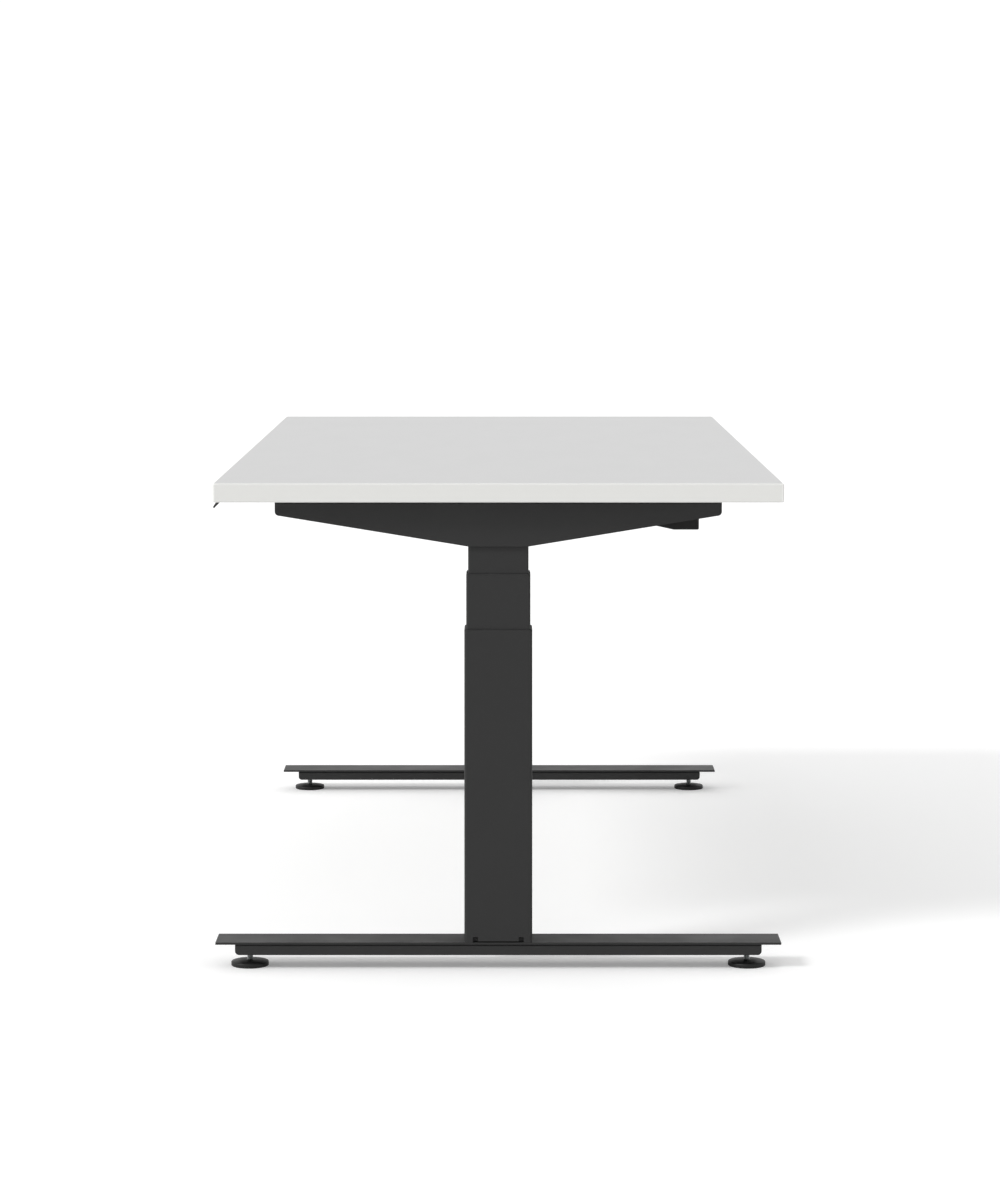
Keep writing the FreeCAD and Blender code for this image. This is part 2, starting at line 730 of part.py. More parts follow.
def control_box_housing():
    x0 = box_x - box_length / 2
    x1 = box_x + box_length / 2
    top = underside - box_lid
    shell = side_outline(box_outline(0.0, top), x0, x1)
    shell = shell.makeFillet(box_round, [e for e in shell.Edges if e.BoundBox.ZMin < top - 1])
    shell = shell.cut(side_outline(box_outline(box_wall, top), x0 + box_wall, x1 - box_wall))
    for y, z, wide, high in box_sockets_places():
        shell = shell.cut(
            block(x0, x0 + box_wall, y - wide / 2, y + wide / 2, z - high / 2, z + high / 2)
        )
    return shell


def control_box_lid():
    half = box_length / 2 + box_ear
    z0 = underside - box_lid
    plate = block(box_x - half, box_x + half, box_front_y, box_back_y, z0, underside)
    upright = [e for e in plate.Edges if e.BoundBox.ZLength > box_lid / 2]
    plate = plate.makeFillet(box_ear / 3, upright)
    holes = [pole(small_screw_radius + clearance_hole, z0, underside, x, y) for x, y in ear_screw_places()]
    return plate.cut(holes)


def control_circuit_board():
    """Board under the lid with its three tallest parts."""
    margin = 12.0
    z1 = underside - box_lid - 4.0
    z0 = z1 - board_thickness
    x0 = box_x - box_length / 2 + box_wall + 16.0
    x1 = box_x + box_length / 2 - box_wall - margin
    y0 = box_front_y + box_wall + margin
    y1 = box_back_y - box_wall - 4.0
    board = block(x0, x1, y0, y1, z0, z1)
    transformer = block(x1 - 70, x1 - 20, y1 - 40, y1 - 6, z0 - 28, z0)
    heat_sink = block(x0 + 30, x0 + 100, y0 + 6, y0 + 12, z0 - 16, z0)
    capacitor = pole(9.0, z0 - 26, z0, x0 + 130, y1 - 18)
    return Part.makeCompound([board, transformer, heat_sink, capacitor])


def control_box_sockets():
    x0 = box_x - box_length / 2
    pieces = []
    for y, z, wide, high in box_sockets_places():
        w = wide / 2 - fit_play
        h = high / 2 - fit_play
        body = block(x0, x0 + 14.0, y - w, y + w, z - h, z + h)
        mouth = block(x0, x0 + 11.0, y - w + 1.5, y + w - 1.5, z - h + 1.5, z + h - 1.5)
        pieces.append(body.cut(mouth))
    return Part.makeCompound(pieces)


def small_screws():
    """Screws that hold the control box and the handset to the board."""
    tip = underside + small_screw_bite
    lid = [
        pan_screw(small_screw_radius, small_screw_head, tip, underside - box_lid, x, y)
        for x, y in ear_screw_places()
    ]
    seat = underside - handset_height + handset_wall
    handset = [
        pan_screw(small_screw_radius, small_screw_head, tip, seat, x, y)
        for x, y in handset_screw_places()
    ]
    return Part.makeCompound(lid + handset)


# ---- handset -------------------------------------------------------------------------------
def handset_point(pair):
    """(y, z) of a point given back from the front edge and up from the underside."""
    return (front_y + pair[0], underside + pair[1])


def handset_housing():
    """Slim tray under the front edge. Its two cheeks carry the pivot pin of the paddle."""
    half = paddle_width / 2 + running_play + handset_cheek
    y0 = front_y + handset_front_gap
    y1 = y0 + handset_depth
    z0 = underside - handset_height
    body = block(paddle_x - half, paddle_x + half, y0, y1, z0, underside)
    rear = [e for e in body.Edges if e.BoundBox.ZLength > 1 and e.BoundBox.YMin > y1 - 1]
    body = body.makeFillet(3 * handset_wall, rear)
    body = body.makeFillet(handset_round, [e for e in body.Edges if e.BoundBox.ZMax < z0 + 1e-3])
    gap = paddle_width / 2 + running_play + 0.25
    pocket = block(paddle_x - gap, paddle_x + gap, y0, y0 + handset_pocket, z0, underside)
    inner = half - handset_wall
    cavity = block(
        paddle_x - inner,
        paddle_x + inner,
        y0 + handset_pocket + handset_wall,
        y1 - handset_wall,
        z0 + handset_wall,
        underside,
    )
    y, z = handset_point(pivot_point)
    pin = rod(handset_pin_radius, paddle_x - half, paddle_x + half, y, z)
    nib_hole = block(paddle_x - 8, paddle_x + 8, y0, y1 - handset_depth / 2, z - 2.6, z + 2.6)
    body = body.cut([pocket, cavity, pin, nib_hole])
    posts = []
    for x, py in handset_screw_places():
        boss = pole(small_screw_head[0] + 1.6, z0, underside, x, py)
        boss = boss.cut(pole(small_screw_head[0] + clearance_hole, z0, z0 + handset_wall, x, py))
        posts.append(boss.cut(pole(small_screw_radius + clearance_hole, z0, underside, x, py)))
        body = body.cut(pole(small_screw_head[0] + clearance_hole, z0, z0 + handset_wall, x, py))
    return body.fuse(posts).removeSplitter()


def handset_pivot_pin():
    half = paddle_width / 2 + running_play + handset_cheek
    y, z = handset_point(pivot_point)
    return rod(handset_pin_radius, paddle_x - half, paddle_x + half, y, z)


def bar_between(a, b, radii, x0, x1):
    """Flat bar between two (y, z) points, of those two half thicknesses, with a round end at the second."""
    run = Vector(0, b[0] - a[0], b[1] - a[1])
    side = Vector(0, -run.z, run.y).normalize()
    start = Vector(x0, a[0], a[1])
    end = start + run
    loop = [start + side * radii[0], end + side * radii[1], end - side * radii[1], start - side * radii[0]]
    slab = Part.Face(Part.makePolygon(loop + loop[:1])).extrude(Vector(x1 - x0, 0, 0))
    return slab.fuse(rod(radii[1], x0, x1, b[0], b[1]))


def handset_paddle():
    """Bent blade that tips up and down on the pin, with a nib behind it for the switches."""
    x0 = paddle_x - paddle_width / 2
    x1 = paddle_x + paddle_width / 2
    pivot = handset_point(pivot_point)
    elbow = handset_point(elbow_point)
    tip = handset_point(tip_point)
    barrel = rod(paddle_barrel, x0, x1, *pivot)
    arm = bar_between(pivot, elbow, (paddle_arm, paddle_root), x0, x1)
    blade = bar_between(elbow, tip, (paddle_root, paddle_tip), x0, x1)
    nib_end = (pivot[0] + 9.0, pivot[1])
    nib = bar_between(pivot, nib_end, (1.0, 1.0), paddle_x - 6, paddle_x + 6)
    bore = rod(handset_pin_radius + running_play, x0, x1, *pivot)
    return barrel.fuse([arm, blade, nib]).cut(bore).removeSplitter()


# ---- write every piece ---------------------------------------------------------------------
def main():
    pieces = {
        "worktop_board": worktop_board(),
        "worktop_edge_band": worktop_edge_band(),
        "rail_front": rail(-1),
        "rail_rear": rail(1),
        "rail_fasteners": rail_fasteners(),
        "worktop_screws": worktop_screws(),
        "column_head_screws": column_head_screws(),
        "control_box_housing": control_box_housing(),
        "control_box_lid": control_box_lid(),
        "control_circuit_board": control_circuit_board(),
        "control_box_sockets": control_box_sockets(),
        "small_screws": small_screws(),
        "handset_housing": handset_housing(),
        "handset_pivot_pin": handset_pivot_pin(),
        "handset_paddle": handset_paddle(),
    }
    guides = []
    for side, sign in SIDES:
        x = sign * leg_x
        outer_size = (column_depth, column_width)
        guides.append(stage_guide(inner_size, inner_bottom, inner_corner, x))
        pieces["bracket_" + side] = bracket(sign)
        pieces["inner_tube_" + side] = inner_tube(sign)
        pieces["gear_motor_" + side] = gear_motor(sign)
        pieces["upper_spindle_" + side] = upper_spindle(sign)
        pieces["middle_tube_" + side] = middle_tube(sign)
        pieces["middle_collar_" + side] = stage_collar(middle_size, middle_top, middle_corner, x)
        pieces["middle_guide_" + side] = stage_guide(middle_size, middle_bottom, middle_corner, x)
        pieces["spindle_carrier_" + side] = spindle_carrier(sign)
        pieces["upper_nut_" + side] = upper_nut(sign)
        pieces["spindle_bearing_" + side] = spindle_bearing(sign)
        pieces["lower_spindle_" + side] = lower_spindle(sign)
        pieces["outer_tube_" + side] = outer_tube(sign)
        pieces["outer_collar_" + side] = stage_collar(outer_size, outer_top, tube_corner, x)
        pieces["spindle_post_" + side] = spindle_post(sign)
        pieces["lower_nut_" + side] = lower_nut(sign)
        pieces["foot_cover_plate_" + side] = foot_cover_plate(sign)
        pieces["foot_channel_" + side] = foot_channel(sign)
        pieces["base_bolts_" + side] = base_bolts(sign)
        for end, y in (("front", -glide_y), ("rear", glide_y)):
            pieces["glide_disc_" + side + "_" + end] = glide_disc(x, y)
            pieces["glide_stem_" + side + "_" + end] = glide_stem(x, y)
    pieces["inner_guides"] = Part.makeCompound(guides)

    os.makedirs("parts", exist_ok=True)
    for name, shape in pieces.items():
        if not shape.isValid():
            raise ValueError(name + " is not a valid shape")
        shape.exportStep("parts/" + name + ".step")
    print(len(pieces), "nodes; desk height", underside + top_thickness)


main()
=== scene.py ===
# Height adjustable standing desk, dressed piece by piece in the order it is put together: glides, feet,
# columns and drives, brackets and rails, worktop, control box, handset. The studio comes last.
import math

import bmesh
import bpy
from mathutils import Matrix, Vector


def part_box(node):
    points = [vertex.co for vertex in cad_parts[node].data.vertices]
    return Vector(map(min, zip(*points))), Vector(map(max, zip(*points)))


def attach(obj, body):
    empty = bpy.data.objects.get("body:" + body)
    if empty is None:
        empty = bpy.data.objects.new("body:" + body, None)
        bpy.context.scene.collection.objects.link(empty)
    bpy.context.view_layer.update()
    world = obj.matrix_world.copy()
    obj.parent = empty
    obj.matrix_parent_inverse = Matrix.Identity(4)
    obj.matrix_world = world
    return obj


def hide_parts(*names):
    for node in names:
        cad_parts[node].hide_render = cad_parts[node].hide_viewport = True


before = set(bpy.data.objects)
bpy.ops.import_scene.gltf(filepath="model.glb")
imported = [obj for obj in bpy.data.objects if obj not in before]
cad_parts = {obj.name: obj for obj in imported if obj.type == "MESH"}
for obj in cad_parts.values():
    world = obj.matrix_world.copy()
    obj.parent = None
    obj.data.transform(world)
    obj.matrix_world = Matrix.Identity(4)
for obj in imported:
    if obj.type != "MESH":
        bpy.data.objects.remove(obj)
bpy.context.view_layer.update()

# ---- Screw glide discs ---------------------------------------------------------------------------
# The four round feet the desk stands on, one under each end of both legs.
# Injection-moulded black nylon with a low dome, a short rim and a flat sole.
MM = 0.001
SIDES = ("left", "right")
ENDS = ("front", "rear")


def colour(code):
    """An sRGB hex colour as a linear RGBA value."""
    channels = [int(code[i:i + 2], 16) / 255 for i in (1, 3, 5)]
    linear = [c / 12.92 if c <= 0.04045 else ((c + 0.055) / 1.055) ** 2.4 for c in channels]
    return (*linear, 1.0)


def start_material(name):
    """A new material, and its node tree with every node cleared away."""
    made = bpy.data.materials.new(name)
    made.use_nodes = True
    made.node_tree.nodes.clear()
    return made, made.node_tree


def add(tree, kind, settings=None, links=None):
    """Adds one node. Settings set its properties, or its inputs by name or number. Links feed its inputs."""
    made = tree.nodes.new(kind)
    for key, value in (settings or {}).items():
        if isinstance(key, str) and hasattr(made, key):
            setattr(made, key, value)
        else:
            made.inputs[key].default_value = value
    for key, source in (links or {}).items():
        tree.links.new(source, made.inputs[key])
    return made


def per_mm(size_mm):
    """Noise scale that gives blotches of about that size, with coordinates in metres."""
    return 1000.0 / size_mm


def dress(names, material):
    """Gives carried-over CAD nodes one material."""
    for name in names:
        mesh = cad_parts[name].data
        mesh.materials.clear()
        mesh.materials.append(material)


def moulded_plastic(name, base, worn, roughness, grain_mm):
    """Moulded plastic: a faint spark-eroded grain, slow changes of sheen, and paler rubbed patches."""
    made, tree = start_material(name)
    place = add(tree, "ShaderNodeTexCoord").outputs["Object"]
    grain = add(tree, "ShaderNodeTexNoise", {"Scale": per_mm(grain_mm), "Detail": 3.0}, {"Vector": place})
    patch = add(tree, "ShaderNodeTexNoise", {"Scale": per_mm(18.0), "Detail": 4.0}, {"Vector": place})
    rubbed = add(
        tree,
        "ShaderNodeMapRange",
        {"From Min": 0.52, "From Max": 0.78},
        {"Value": patch.outputs["Fac"]},
    )
    tint = add(
        tree,
        "ShaderNodeMix",
        {"data_type": "RGBA", 6: colour(base), 7: colour(worn)},
        {0: rubbed.outputs["Result"]},
    )
    sheen = add(
        tree,
        "ShaderNodeMapRange",
        {"To Min": roughness - 0.07, "To Max": roughness + 0.08},
        {"Value": patch.outputs["Fac"]},
    )
    relief = add(
        tree,
        "ShaderNodeBump",
        {"Strength": 0.35, "Distance": 0.04 * MM},
        {"Height": grain.outputs["Fac"]},
    )
    shader = add(
        tree,
        "ShaderNodeBsdfPrincipled",
        {"IOR": 1.53, "Specular IOR Level": 0.38},
        {
            "Base Color": tint.outputs[2],
            "Roughness": sheen.outputs["Result"],
            "Normal": relief.outputs["Normal"],
        },
    )
    add(tree, "ShaderNodeOutputMaterial", {}, {"Surface": shader.outputs["BSDF"]})
    return made


glide_nylon = moulded_plastic("moulded_black_nylon", "#151515", "#222222", 0.45, 0.9)
dress([f"glide_disc_{side}_{end}" for side in SIDES for end in ENDS], glide_nylon)

# ---- Screw glide stems ---------------------------------------------------------------------------
# M8 threaded studs, pressed into the discs and screwed up into the nuts inside the channel.
# Cold-rolled steel with a bright zinc plate. The thread is cut as a true helix.
STEM_PITCH = 1.25 * MM
STEM_DEPTH = 0.62 * MM
# Above 1, the crest of the thread is flat.
CREST_FLAT = 1.35
CRISP_DEGREES = 35


def bright_plate(name, base, tinge, roughness):
    """Bright plating on steel or brass: silvery, with a faint tinge, a soft bloom and small dull spots."""
    made, tree = start_material(name)
    place = add(tree, "ShaderNodeTexCoord").outputs["Object"]
    bloom = add(tree, "ShaderNodeTexNoise", {"Scale": per_mm(6.0), "Detail": 5.0}, {"Vector": place})
    spots = add(tree, "ShaderNodeTexVoronoi", {"Scale": per_mm(1.8)}, {"Vector": place})
    tint = add(
        tree,
        "ShaderNodeMix",
        {"data_type": "RGBA", 6: colour(base), 7: colour(tinge)},
        {0: bloom.outputs["Fac"]},
    )
    dull = add(
        tree,
        "ShaderNodeMapRange",
        {"To Min": roughness + 0.12, "To Max": roughness - 0.06},
        {"Value": spots.outputs["Distance"]},
    )
    relief = add(
        tree,
        "ShaderNodeBump",
        {"Strength": 0.2, "Distance": 0.02 * MM},
        {"Height": bloom.outputs["Fac"]},
    )
    shader = add(
        tree,
        "ShaderNodeBsdfPrincipled",
        {"Metallic": 1.0},
        {
            "Base Color": tint.outputs[2],
            "Roughness": dull.outputs["Result"],
            "Normal": relief.outputs["Normal"],
        },
    )
    add(tree, "ShaderNodeOutputMaterial", {}, {"Surface": shader.outputs["BSDF"]})
    return made


def new_piece(name, mesh, material, body):
    """Turns a bmesh into a piece that rides on a body."""
    bmesh.ops.recalc_face_normals(mesh, faces=mesh.faces)
    data = bpy.data.meshes.new(name)
    mesh.to_mesh(data)
    mesh.free()
    data.materials.append(material)
    piece = bpy.data.objects.new(name, data)
    bpy.context.scene.collection.objects.link(piece)
    for face in data.polygons:
        face.use_smooth = True
    data.set_sharp_from_angle(angle=math.radians(CRISP_DEGREES))
    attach(piece, body)
    return piece


def ring_of(mesh, points):
    """Adds loose points, in order, for skin_rings to join."""
    return [mesh.verts.new(p) for p in points]


def skin_rings(mesh, rings):
    """Joins rings of equal length with quads, and closes both ends with fans."""
    count = len(rings[0])
    for low, high in zip(rings, rings[1:]):
        for i in range(count):
            j = (i + 1) % count
            mesh.faces.new((low[i], low[j], high[j], high[i]))
    for loop in (rings[0], rings[-1]):
        middle = sum((v.co for v in loop), Vector()) / count
        centre = mesh.verts.new(middle)
        for i in range(count):
            mesh.faces.new((loop[i], loop[(i + 1) % count], centre))


def threaded_rod(mesh, axis, low, high, radius, pitch, depth, around=32, per_turn=8):
    """Adds an upright rod with a V-shaped helical thread. Its two ends run out to the root of the thread."""
    rows = round((high - low) / pitch * per_turn)
    rings = []
    for row in range(rows + 1):
        z = low + (high - low) * row / rows
        run_out = min(1.0, (z - low) / pitch, (high - z) / pitch)
        points = []
        for i in range(around):
            turn = i / around
            phase = ((z - low) / pitch - turn) % 1.0
            crest = 1.0 - abs(2.0 * phase - 1.0)
            r = radius - depth + depth * min(1.0, CREST_FLAT * crest) * run_out
            angle = 2 * math.pi * turn
            points.append((axis[0] + r * math.cos(angle), axis[1] + r * math.sin(angle), z))
        rings.append(ring_of(mesh, points))
    skin_rings(mesh, rings)


zinc_steel = bright_plate("zinc_plated_steel", "#B4B8BC", "#A9ABA6", 0.34)
for side in SIDES:
    for end in ENDS:
        node = f"glide_stem_{side}_{end}"
        low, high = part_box(node)
        mesh = bmesh.new()
        centre = ((low[0] + high[0]) / 2, (low[1] + high[1]) / 2)
        stem_radius = (high[0] - low[0]) / 2
        threaded_rod(mesh, centre, low[2], high[2], stem_radius, STEM_PITCH, STEM_DEPTH)
        stem = new_piece(f"threaded_{node}", mesh, zinc_steel, f"glide_{side}_{end}")
        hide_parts(node)

# ---- Feet: cover plate and channel ---------------------------------------------------------------
# A 3 mm flat steel plate over a folded channel, welded together with the glide nuts inside.
# Both are powder-coated charcoal: a dry, slightly pebbled coat that hides every weld.


def coated_steel(name, base, lifted, roughness):
    """A matt coat on steel: orange peel of about 1.6 mm, a finer sandy grain with paler specks, and a
    painted highlight on edges.
    """
    made, tree = start_material(name)
    place = add(tree, "ShaderNodeTexCoord").outputs["Object"]
    peel = add(tree, "ShaderNodeTexNoise", {"Scale": per_mm(1.6), "Detail": 2.0}, {"Vector": place})
    sand = add(tree, "ShaderNodeTexNoise", {"Scale": per_mm(0.45), "Detail": 2.0}, {"Vector": place})
    cloud = add(tree, "ShaderNodeTexNoise", {"Scale": per_mm(70.0), "Detail": 3.0}, {"Vector": place})
    softened = add(tree, "ShaderNodeBevel", {"samples": 4, "Radius": 0.9 * MM})
    facet = add(tree, "ShaderNodeNewGeometry")
    alike = add(
        tree,
        "ShaderNodeVectorMath",
        {"operation": "DOT_PRODUCT"},
        {0: softened.outputs["Normal"], 1: facet.outputs["Normal"]},
    )
    # Painted highlight: edges found by the bevel normal take the paler colour, as if they caught the light.
    edge = add(
        tree,
        "ShaderNodeMapRange",
        {"From Min": 0.99, "From Max": 0.80, "To Max": 0.55},
        {"Value": alike.outputs["Value"]},
    )
    speck = add(
        tree,
        "ShaderNodeMapRange",
        {"From Min": 0.35, "From Max": 0.70, "To Max": 0.35},
        {"Value": sand.outputs["Fac"]},
    )
    specks_and_edge_highlight = add(
        tree,
        "ShaderNodeMath",
        {"operation": "MAXIMUM"},
        {0: edge.outputs["Result"], 1: speck.outputs["Result"]},
    )
    tint = add(
        tree,
        "ShaderNodeMix",
        {"data_type": "RGBA", 6: colour(base), 7: colour(lifted)},
        {0: specks_and_edge_highlight.outputs["Value"]},
    )
    sheen = add(
        tree,
        "ShaderNodeMapRange",
        {"From Min": 0.3, "From Max": 0.7, "To Min": roughness - 0.05, "To Max": roughness + 0.05},
        {"Value": cloud.outputs["Fac"]},
    )
    fine = add(
        tree,
        "ShaderNodeBump",
        {"Strength": 0.25, "Distance": 0.05 * MM},
        {"Height": sand.outputs["Fac"], "Normal": softened.outputs["Normal"]},
    )
    relief = add(
        tree,
        "ShaderNodeBump",
        {"Strength": 0.35, "Distance": 0.09 * MM},
        {"Height": peel.outputs["Fac"], "Normal": fine.outputs["Normal"]},
    )
    shader = add(
        tree,
        "ShaderNodeBsdfPrincipled",
        {"IOR": 1.5, "Specular IOR Level": 0.3},
        {
            "Base Color": tint.outputs[2],
            "Roughness": sheen.outputs["Result"],
            "Normal": relief.outputs["Normal"],
        },
    )
    add(tree, "ShaderNodeOutputMaterial", {}, {"Surface": shader.outputs["BSDF"]})
    return made


# The paler second colour serves both the specks of the grain and the painted edge highlight.
charcoal_coat = coated_steel("powder_coated_steel", "#292929", "#393939", 0.48)
dress([f"foot_{piece}_{side}" for piece in ("cover_plate", "channel") for side in SIDES], charcoal_coat)

# ---- Base bolts ----------------------------------------------------------------------------------
# Socket-head bolts driven from below through the foot into the column's base plate.
# Heat-treated steel with a black oxide skin, a little oily.


def black_oxide_steel(name, base, bare, roughness):
    """Black oxide: a thin dark skin that lets bare steel glint through where a tool has touched it."""
    made, tree = start_material(name)
    place = add(tree, "ShaderNodeTexCoord").outputs["Object"]
    smear = add(tree, "ShaderNodeTexNoise", {"Scale": per_mm(2.5), "Detail": 5.0}, {"Vector": place})
    touched = add(
        tree,
        "ShaderNodeMapRange",
        {"From Min": 0.56, "From Max": 0.80},
        {"Value": smear.outputs["Fac"]},
    )
    tint = add(
        tree,
        "ShaderNodeMix",
        {"data_type": "RGBA", 6: colour(base), 7: colour(bare)},
        {0: touched.outputs["Result"]},
    )
    sheen = add(
        tree,
        "ShaderNodeMapRange",
        {"To Min": roughness + 0.08, "To Max": roughness - 0.12},
        {"Value": smear.outputs["Fac"]},
    )
    shader = add(
        tree,
        "ShaderNodeBsdfPrincipled",
        {"Metallic": 1.0},
        {"Base Color": tint.outputs[2], "Roughness": sheen.outputs["Result"]},
    )
    add(tree, "ShaderNodeOutputMaterial", {}, {"Surface": shader.outputs["BSDF"]})
    return made


black_oxide = black_oxide_steel("black_oxide_steel", "#2B2B2D", "#6A6A6C", 0.38)
dress([f"base_bolts_{side}" for side in SIDES], black_oxide)

# ---- Column tubes --------------------------------------------------------------------------------
# Three rectangular tubes in each leg, one sliding in the next, roll-formed from 1.5 mm steel.
# The same charcoal powder coat as the feet, inside and out.
dress([f"{stage}_tube_{side}" for stage in ("outer", "middle", "inner") for side in SIDES], charcoal_coat)

# ---- Collars and guides --------------------------------------------------------------------------
# The plastic mouth of the outer and the middle tube, and the hidden rings at the foot of the moving
# tubes. Moulded acetal, coloured close to the steel, with a smoother and slightly waxy face.
guide_acetal = moulded_plastic("moulded_charcoal_acetal", "#272727", "#303030", 0.5, 0.7)
dress([f"{stage}_collar_{side}" for stage in ("outer", "middle") for side in SIDES], guide_acetal)
dress([f"middle_guide_{side}" for side in SIDES] + ["inner_guides"], guide_acetal)

# ---- Drive: spindle posts, carriers, nuts and bearings -------------------------------------------
# Drawn steel tubes: the carriers are bare but oiled, with the lines of the drawing die along them, and
# the posts are dipped in black paint with the base plate they are welded to. The nuts are natural acetal.


def drawn_steel_finish(name, base, oiled, roughness):
    """Cold-drawn steel: grey, with fine lines along its length and a patchy film of oil."""
    made, tree = start_material(name)
    place = add(tree, "ShaderNodeTexCoord").outputs["Object"]
    stretched = add(tree, "ShaderNodeMapping", {"Scale": (1.0, 1.0, 0.02)}, {"Vector": place})
    lines = add(
        tree,
        "ShaderNodeTexNoise",
        {"Scale": per_mm(0.8), "Detail": 3.0},
        {"Vector": stretched.outputs["Vector"]},
    )
    film = add(tree, "ShaderNodeTexNoise", {"Scale": per_mm(25.0), "Detail": 4.0}, {"Vector": place})
    tint = add(
        tree,
        "ShaderNodeMix",
        {"data_type": "RGBA", 6: colour(base), 7: colour(oiled)},
        {0: film.outputs["Fac"]},
    )
    sheen = add(
        tree,
        "ShaderNodeMapRange",
        {"To Min": roughness - 0.1, "To Max": roughness + 0.1},
        {"Value": lines.outputs["Fac"]},
    )
    relief = add(
        tree,
        "ShaderNodeBump",
        {"Strength": 0.2, "Distance": 0.02 * MM},
        {"Height": lines.outputs["Fac"]},
    )
    shader = add(
        tree,
        "ShaderNodeBsdfPrincipled",
        {"Metallic": 1.0},
        {
            "Base Color": tint.outputs[2],
            "Roughness": sheen.outputs["Result"],
            "Normal": relief.outputs["Normal"],
        },
    )
    add(tree, "ShaderNodeOutputMaterial", {}, {"Surface": shader.outputs["BSDF"]})
    return made


drawn_steel = drawn_steel_finish("drawn_oiled_steel", "#9A9996", "#7E7C76", 0.35)
natural_acetal = moulded_plastic("natural_acetal", "#E2DFD3", "#CFCABA", 0.38, 1.2)
for side in SIDES:
    dress([f"{piece}_{side}" for piece in ("spindle_carrier", "spindle_bearing")], drawn_steel)
    dress([f"{piece}_{side}" for piece in ("lower_nut", "upper_nut")], natural_acetal)

# ---- Spindles ------------------------------------------------------------------------------------
# The hollow lower screw and the solid upper screw that slides in it by a hexagonal key.
# Rolled trapezoidal thread with a lead of 5 mm, in the same drawn steel with grease in the flanks.
dress([f"{stage}_spindle_{side}" for stage in ("lower", "upper") for side in SIDES], drawn_steel)

# ---- Gear motors ---------------------------------------------------------------------------------
# A motor can on a planetary gearbox, screwed up inside each inner tube.
# Deep-drawn steel, dipped in black paint.
# The paler second colour serves both the specks of the grain and the painted edge highlight.
motor_paint = coated_steel("black_dipped_paint", "#1C1C1E", "#2C2C2E", 0.4)
dress([f"{piece}_{side}" for piece in ("gear_motor", "spindle_post") for side in SIDES], motor_paint)

# ---- Brackets and rails --------------------------------------------------------------------------
# Folded 3 mm steel channels across the desk, and two rectangular tubes along it that tie them.
# All powder-coated charcoal. The rails' end plates are welded on, and the beads show under the coat.
dress([f"bracket_{side}" for side in SIDES] + ["rail_front", "rail_rear"], charcoal_coat)
dress(["column_head_screws", "rail_fasteners"], zinc_steel)
END_PLATE = 4.0 * MM
RAIL_HEIGHT = 40.0 * MM
RAIL_WIDTH = 25.0 * MM
CORNER_GAP = 3.0 * MM
TOP_GAP = 5.0 * MM
BEAD_RADIUS = 1.7 * MM
BEAD_STEP = 1.6 * MM
BEAD_RIPPLE = 0.10
BEAD_POINTS = 10
RINGS_PER_STEP = 4
# A bead starts and stops at this share of its radius, and swells to full at this rate along its run.
BEAD_TIP = 0.3
BEAD_SWELL = 8.0


def weld_bead(mesh, start, stop, away):
    """Adds a rippled bead from start to stop. It swells from the end plate, along away."""
    run = stop - start
    across = run.normalized().cross(away)
    steps = round(run.length / BEAD_STEP * RINGS_PER_STEP)
    rings = []
    for i in range(steps + 1):
        share = i / steps
        ripple = 1.0 + BEAD_RIPPLE * math.cos(2 * math.pi * share * run.length / BEAD_STEP)
        swell = min(1.0, BEAD_SWELL * share + BEAD_TIP, BEAD_SWELL * (1.0 - share) + BEAD_TIP)
        radius = BEAD_RADIUS * ripple * swell
        middle = start + run * share
        points = []
        for j in range(BEAD_POINTS):
            angle = 2 * math.pi * j / BEAD_POINTS
            points.append(middle + radius * (away * math.cos(angle) + across * math.sin(angle)))
        rings.append(ring_of(mesh, points))
    skin_rings(mesh, rings)


for rail, sign in (("front", -1), ("rear", 1)):
    low, high = (Vector(corner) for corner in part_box(f"rail_{rail}"))
    near = min(abs(low.y), abs(high.y))
    outer_face = sign * (near + RAIL_WIDTH)
    y0, y1 = sorted((sign * near, outer_face))
    underside = high.z - RAIL_HEIGHT
    mesh = bmesh.new()
    for end in (-1, 1):
        x = end * (high.x - END_PLATE)
        away = Vector((-end, 0, 0))
        start = Vector((x, y0 + CORNER_GAP, underside))
        stop = Vector((x, y1 - CORNER_GAP, underside))
        weld_bead(mesh, start, stop, away)
        start = Vector((x, outer_face, underside + CORNER_GAP))
        stop = Vector((x, outer_face, high.z - TOP_GAP))
        weld_bead(mesh, start, stop, away)
    new_piece(f"rail_{rail}_welds", mesh, charcoal_coat, "desktop")

# ---- Worktop screws ------------------------------------------------------------------------------
# Pan-head wood screws with a six-lobed drive, up through the brackets into the board.
# Hardened steel with a black oxide skin.
LOBES = 6
HEAD_POINTS = 48
STAR_SHARE = 0.5
# The recess from its floor down to the face: shares of the star's radius and the head's height, and
# how deep the lobes are.
RECESS = ((0.82, 0.62, 0.13), (1.0, 0.12, 0.13), (1.08, 0.0, 0.10))
# The dome from the face up to the seat: shares of the head's radius and height.
DOME = ((0.74, 0.03), (0.90, 0.18), (0.98, 0.48), (1.0, 0.85))
# The point's length and its blunt end, as shares of the shank's radius.
POINT_LENGTH = 2.5
POINT_END = 0.15


